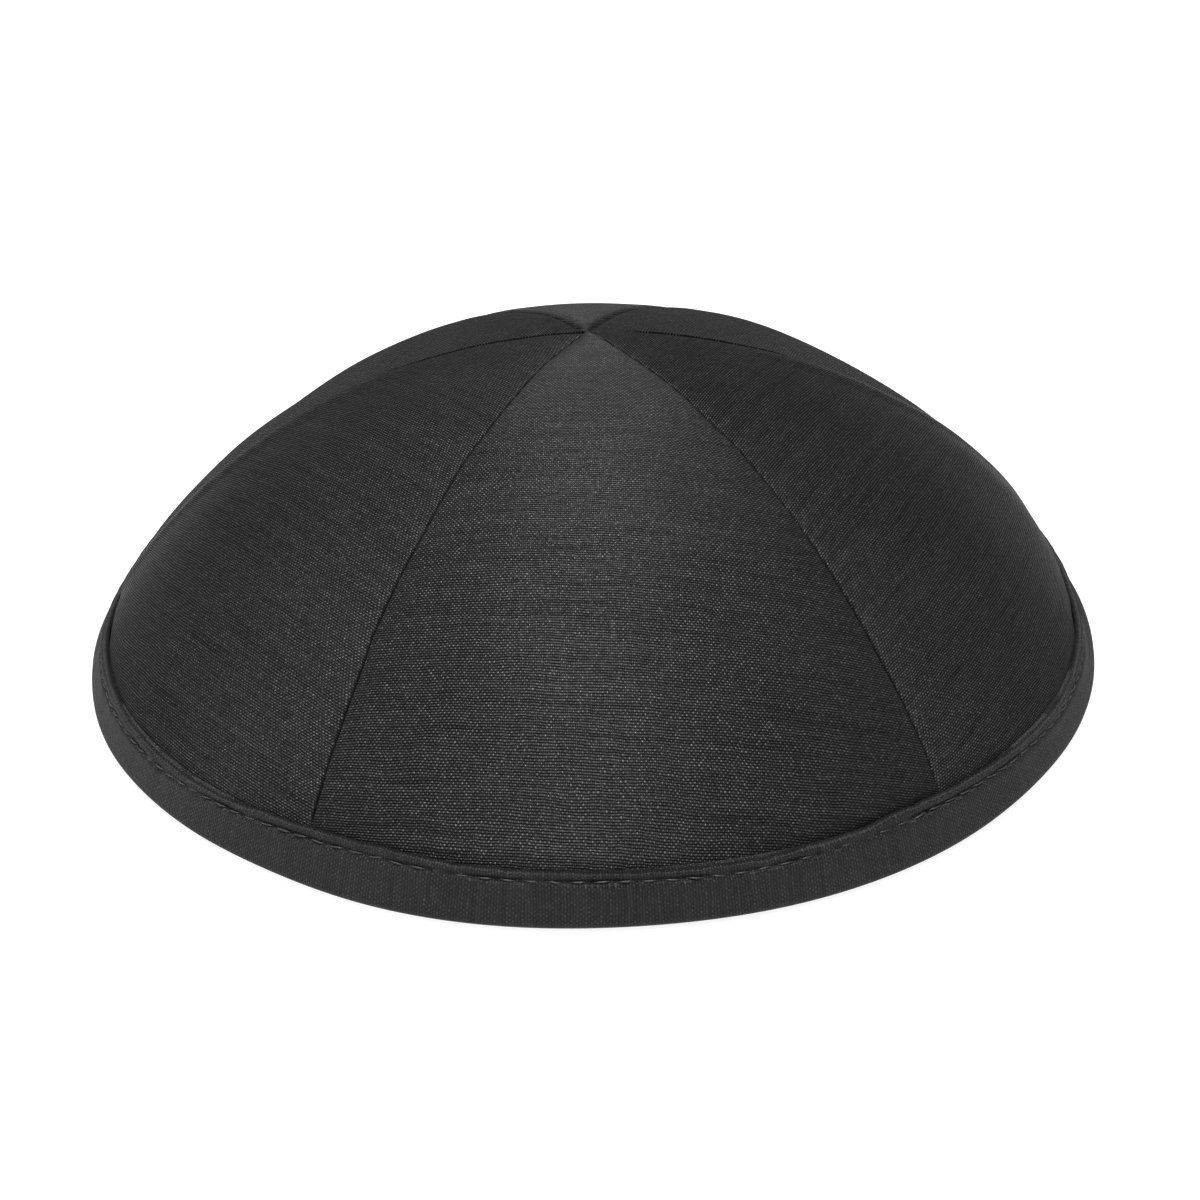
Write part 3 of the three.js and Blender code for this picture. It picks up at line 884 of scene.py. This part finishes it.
# Lining: its soft folds. Where each one's middle is, half its length and width, how far it leans from
# upright, and how far it stands in
LINING_FOLDS = [
    {"round": 148, "up": 34, "half_length": 17, "half_width": 4.5, "lean": -22, "depth": 1.1},
    {"round": 198, "up": 22, "half_length": 9, "half_width": 2.0, "lean": -50, "depth": 1.2},
    {"round": 203, "up": 31, "half_length": 13, "half_width": 3.0, "lean": 18, "depth": 1.1},
    {"round": 232, "up": 36, "half_length": 16, "half_width": 4.5, "lean": 30, "depth": 1.0},
    {"round": 262, "up": 44, "half_length": 20, "half_width": 6.0, "lean": 12, "depth": 1.3},
    {"round": 284, "up": 40, "half_length": 18, "half_width": 5.5, "lean": -14, "depth": 1.1},
    {"round": 325, "up": 38, "half_length": 15, "half_width": 5.0, "lean": 20, "depth": 1.0},
    {"round": 8, "up": 36, "half_length": 16, "half_width": 6.5, "lean": -16, "depth": 1.2},
    {"round": 62, "up": 40, "half_length": 18, "half_width": 6.0, "lean": 15, "depth": 1.1},
    {"round": 98, "up": 42, "half_length": 18, "half_width": 6.0, "lean": -10, "depth": 1.2},
]

# How far in the lining hangs between its seams, and the radius at which its upright creases are measured
LINING_SLACK = 0.3
CREASE_RADIUS = 45


def fold_depth(up, angle, radius):
    """How far the lining's folds push it in at a place."""
    depth = 0
    for fold in LINING_FOLDS:
        across = turn_between(angle, math.radians(fold["round"])) * radius
        along = up - fold["up"]
        lean = math.radians(fold["lean"])
        lengthwise = (along * math.cos(lean) + across * math.sin(lean)) / fold["half_length"]
        sideways = (across * math.cos(lean) - along * math.sin(lean)) / fold["half_width"]
        depth = depth + fold["depth"] * np.exp(-(lengthwise**2) - sideways**2)
    return depth


def lining_creases(number, up, turn, radius):
    """The small creases of a lining panel. turn is the angle from its middle."""
    arc = turn * radius
    small = 0.10 * dimples(arc, up, SEEDS["small_creases"] + number, 9.0)
    large = 0.25 * dimples(arc, up, SEEDS["large_creases"] + number, 24.0)
    upright = 0.30 * wander(turn * CREASE_RADIUS, SEEDS["upright_creases"] + number, 5.0)
    return small + large + upright * hump(up - 34, 16.0)


def lining_depth(number, up, angle, columns, radius):
    """How deep in the wall a lining panel's cloth begins. columns runs from -1 to 1 between its seams."""
    half_angle = math.pi / len(LININGS)
    turn = angle - 2 * half_angle * number
    from_seam = (half_angle - np.abs(turn)) * radius
    top = inner_band_top(angle)
    held = smooth(up, top, top + 8)
    free = held * (1 - columns**4)
    slack = fold_depth(up, angle, radius) + LINING_SLACK + lining_creases(number, up, turn, radius)
    seam = 0.28 * np.exp(-((from_seam / 0.6) ** 1.5))
    puckers = 0.08 * wander(up, SEEDS["lining_puckers"] + number, 3.0) * np.exp(-from_seam / 2.5)
    puckers = puckers * smooth(radius, 6.0, 16.0)
    return LINING_DEPTH + free * slack - seam * held + puckers * held


def lining_panel(number, material):
    """One lining panel, sewn to its neighbours, with soft folds and small creases."""
    half_angle = math.pi / len(LININGS)
    middle = 2 * half_angle * number
    low = up_at_height(CAVITY_FLOOR + GAP, LINING_DEPTH + CLOTH)
    hidden = np.linspace(low, 12.0, LINING_GRID["hidden_rows"])
    shown = np.linspace(13.0, WALL_LENGTH - OPEN_TOP["lining"], LINING_GRID["rows"])
    up = np.concatenate([hidden, shown])[:, None]
    columns = np.sin(np.pi / 2 * np.linspace(-1, 1, LINING_GRID["columns"]))[None, :]
    radius, _ = wall_point(up, 0.0)
    angle = middle + columns * (half_angle - 0.02 / radius)
    depth = lining_depth(number, up, angle, columns, radius)
    inner = wall(up, depth + CLOTH, angle)
    outer = wall(up, LINING_DEPTH + 0 * angle, angle)
    points = np.stack([outer, inner])
    uv = np.stack([cloth_place(inner, middle)] * 2)
    name = LININGS[number]
    faces = sheet_faces(*angle.shape)
    made = piece(f"cloth_lining_{name}", points, faces, material, f"lining_{name}", uv)


# Thread
def tube(centres, radius, sides):
    """Points and faces of round tubes with closed, tapered ends. centres is tubes by points by 3."""
    count, length, _ = centres.shape
    direction = np.gradient(centres, axis=1)
    direction = direction / np.linalg.norm(direction, axis=-1, keepdims=True)
    helper = np.broadcast_to(np.array([0.0, 0.0, 1.0]), direction.shape)
    side = np.cross(direction, helper)
    side = side / np.linalg.norm(side, axis=-1, keepdims=True)
    other = np.cross(direction, side)
    turn = np.arange(sides) * 2 * math.pi / sides
    ends = np.sin(np.pi * np.clip(np.linspace(0, 1, length), 0.02, 0.98)) ** 0.35
    ring = side[:, :, None] * np.cos(turn)[:, None] + other[:, :, None] * np.sin(turn)[:, None]
    points = centres[:, :, None] + radius * ends[None, :, None, None] * ring
    one = grid_quads(length, sides, closed=True)
    base = (np.arange(count) * length * sides)[:, None, None]
    faces = (one[None] + base).reshape(-1, 4)
    caps = [quad for i in range(count) for quad in tube_caps(i * length * sides, length, sides)]
    return points.reshape(-1, 3), np.concatenate([faces, np.array(caps)])


def tube_caps(first, length, sides):
    """The faces that close both ends of a tube whose points begin at first."""
    last = first + (length - 1) * sides
    caps = []
    for start, flip in ((first, True), (last, False)):
        for k in range(1, sides // 2):
            quad = [start + k - 1, start + k, start + sides - 1 - k, start + (sides - k) % sides]
            caps.append(quad[::-1] if flip else quad)
    return caps


def stitch_row(name, line_up, depth_at, material):
    """One row of stitches round the rim, each dipping into the cloth at its ends."""
    number = np.arange(STITCH_COUNT)[:, None]
    share = np.linspace(-0.5, 0.5, STITCH["points"])[None, :]
    fill = STITCH["length"] / STITCH["pitch"]
    step = 2 * math.pi / STITCH_COUNT
    angle = (number + 0.5 + share * fill) * step
    random = np.random.default_rng(SEEDS[name])
    tilt = random.normal(0.0, STITCH["tilt"], (STITCH_COUNT, 1))
    off_line = random.normal(0.0, STITCH["off_line"], (STITCH_COUNT, 1))
    up = line_up + line_rise(angle) + tilt * share * 2 + off_line
    sunk = STITCH["sink"] * np.abs(2 * share) ** 4
    points = wall(up, depth_at(sunk), angle)
    mesh_points, faces = tube(points, STITCH["thread"], STITCH["sides"])
    piece(name, mesh_points, faces, material)


def stitches(material):
    """The row of stitches that shows outside and the one that shows inside."""
    line = BAND_WIDTH - STITCH["below_edge"]
    inner_face = INNER_BAND_DEPTH + CLOTH
    stitch_row("thread_outside", line, lambda sunk: 0.08 - BAND_STEP + sunk, material)
    stitch_row("thread_inside", inner_line(), lambda sunk: inner_face - sunk, material)


# Stage, light and camera. The camera comes from the same fit as the dents, apart from the focal length,
# which was changed.
PHOTO = {
    "azimuth": -3.2095, "elevation": 23.1204, "distance": 237.29, "focal_px": 1431.0, "roll": 1.1666,
    "aim_side": 1.3261, "aim_up": -0.3345, "size_px": 1200,
}

# How far the floor reaches, in metres
FLOOR_REACH = {"in_front": 4.0, "behind": 60.0}


def toward(azimuth, elevation):
    """The direction from the cap to a place, from its angle round the cap and its height in degrees."""
    turn, tip = math.radians(azimuth), math.radians(elevation)
    return Vector((math.sin(turn) * math.cos(tip), -math.cos(turn) * math.cos(tip), math.sin(tip)))


def camera():
    """The photograph's view of the cap."""
    middle = Vector((0, 0, cad_box[1][2] / MM / 2))
    eye = middle + PHOTO["distance"] * toward(PHOTO["azimuth"], PHOTO["elevation"])
    azimuth = math.radians(PHOTO["azimuth"])
    sideways = Vector((math.cos(azimuth), math.sin(azimuth), 0))
    aim = PHOTO["aim_side"] * sideways + Vector((0, 0, PHOTO["aim_up"]))
    back = (eye - aim).normalized()
    right = Vector((0, 0, 1)).cross(back).normalized()
    above = back.cross(right)
    roll = math.radians(PHOTO["roll"])
    rolled_right = math.cos(roll) * right - math.sin(roll) * above
    rolled_above = math.sin(roll) * right + math.cos(roll) * above
    data = bpy.data.cameras.new("camera")
    data.sensor_width = 36.0
    data.lens = PHOTO["focal_px"] / PHOTO["size_px"] * data.sensor_width
    data.clip_start = 0.01
    made = bpy.data.objects.new("camera", data)
    turn = Matrix((rolled_right, rolled_above, back)).transposed().to_4x4()
    made.matrix_world = Matrix.Translation(eye * MM) @ turn
    bpy.context.scene.collection.objects.link(made)
    bpy.context.scene.camera = made


def floor():
    """A white floor that reaches far behind the cap."""
    near, far = FLOOR_REACH["in_front"], FLOOR_REACH["behind"]
    mesh = bpy.data.meshes.new("floor")
    corners = [(-far, -near, 0), (far, -near, 0), (far, far, 0), (-far, far, 0)]
    mesh.from_pydata(corners, [], [(0, 1, 2, 3)])
    mesh.materials.append(pale_floor("floor_pale"))
    made = bpy.data.objects.new("floor", mesh)
    bpy.context.scene.collection.objects.link(made)


# The strengths were chosen from a solve that brings renders of single lights near the photo's tones. They
# were rounded, and the side light's was changed.
LIGHTS = [
    {"name": "key", "round": 0, "height": 88, "strength": 4.4},
    {"name": "back", "round": 180, "height": 70, "strength": 1.2},
    {"name": "side", "round": -90, "height": 12, "strength": 1.28},
    {"name": "fill", "round": 0, "height": 19, "strength": 1.15},
]
LIGHT_SPREAD = 30
ROOM_LIGHT = {"horizon": 1.0, "above": 0.25, "fade_starts": 0.02, "fade_ends": 0.35}


def soft_light(name, round, height, strength):
    """A large soft light far away. round is its angle round the cap, from the front to the right."""
    data = bpy.data.lights.new("light_" + name, "SUN")
    data.energy = strength
    data.angle = math.radians(LIGHT_SPREAD)
    made = bpy.data.objects.new("light_" + name, data)
    made.rotation_euler = toward(round, height).to_track_quat("Z", "Y").to_euler()
    bpy.context.scene.collection.objects.link(made)


def room():
    """A room that is white at the height of the floor's far edge and dimmer above."""
    world = bpy.data.worlds.new("room")
    world.use_nodes = True
    tree = world.node_tree
    place = tree.nodes.new("ShaderNodeTexCoord")
    split = tree.nodes.new("ShaderNodeSeparateXYZ")
    fade = tree.nodes.new("ShaderNodeMapRange")
    fade.inputs["From Min"].default_value = ROOM_LIGHT["fade_starts"]
    fade.inputs["From Max"].default_value = ROOM_LIGHT["fade_ends"]
    fade.inputs["To Min"].default_value = ROOM_LIGHT["horizon"]
    fade.inputs["To Max"].default_value = ROOM_LIGHT["above"]
    tree.links.new(place.outputs["Generated"], split.inputs[0])
    tree.links.new(split.outputs["Z"], fade.inputs["Value"])
    background = tree.nodes["Background"]
    background.inputs["Color"].default_value = (1, 1, 1, 1)
    tree.links.new(fade.outputs["Result"], background.inputs["Strength"])
    bpy.context.scene.world = world


def lights():
    """Soft studio light from a few large lights in a white room."""
    for light in LIGHTS:
        soft_light(**light)
    room()
    bpy.context.scene.view_settings.view_transform = "Standard"


camera()
gore_silk = woven_silk("gore_silk", 0.024, relief=1.0, slubs=1.0, painted_glint_strength=1.0, gloss=0.0)
band_silk = woven_silk("band_silk", 0.022, relief=0.45, slubs=0.3, painted_glint_strength=0.4, gloss=0.15)
white_satin = satin("white_satin", 0.86)
black_thread = thread_fibre("black_thread", 0.010)
for number in range(len(GORES)):
    gore(number, gore_silk)
binding(band_silk)
for number in range(len(LININGS)):
    lining_panel(number, white_satin)
stitches(black_thread)
clip_steel = plated_steel("clip_steel")
clip_object = bpy.data.objects["clip"]
clip_object.data.materials.clear()
clip_object.data.materials.append(clip_steel)
floor()
lights()
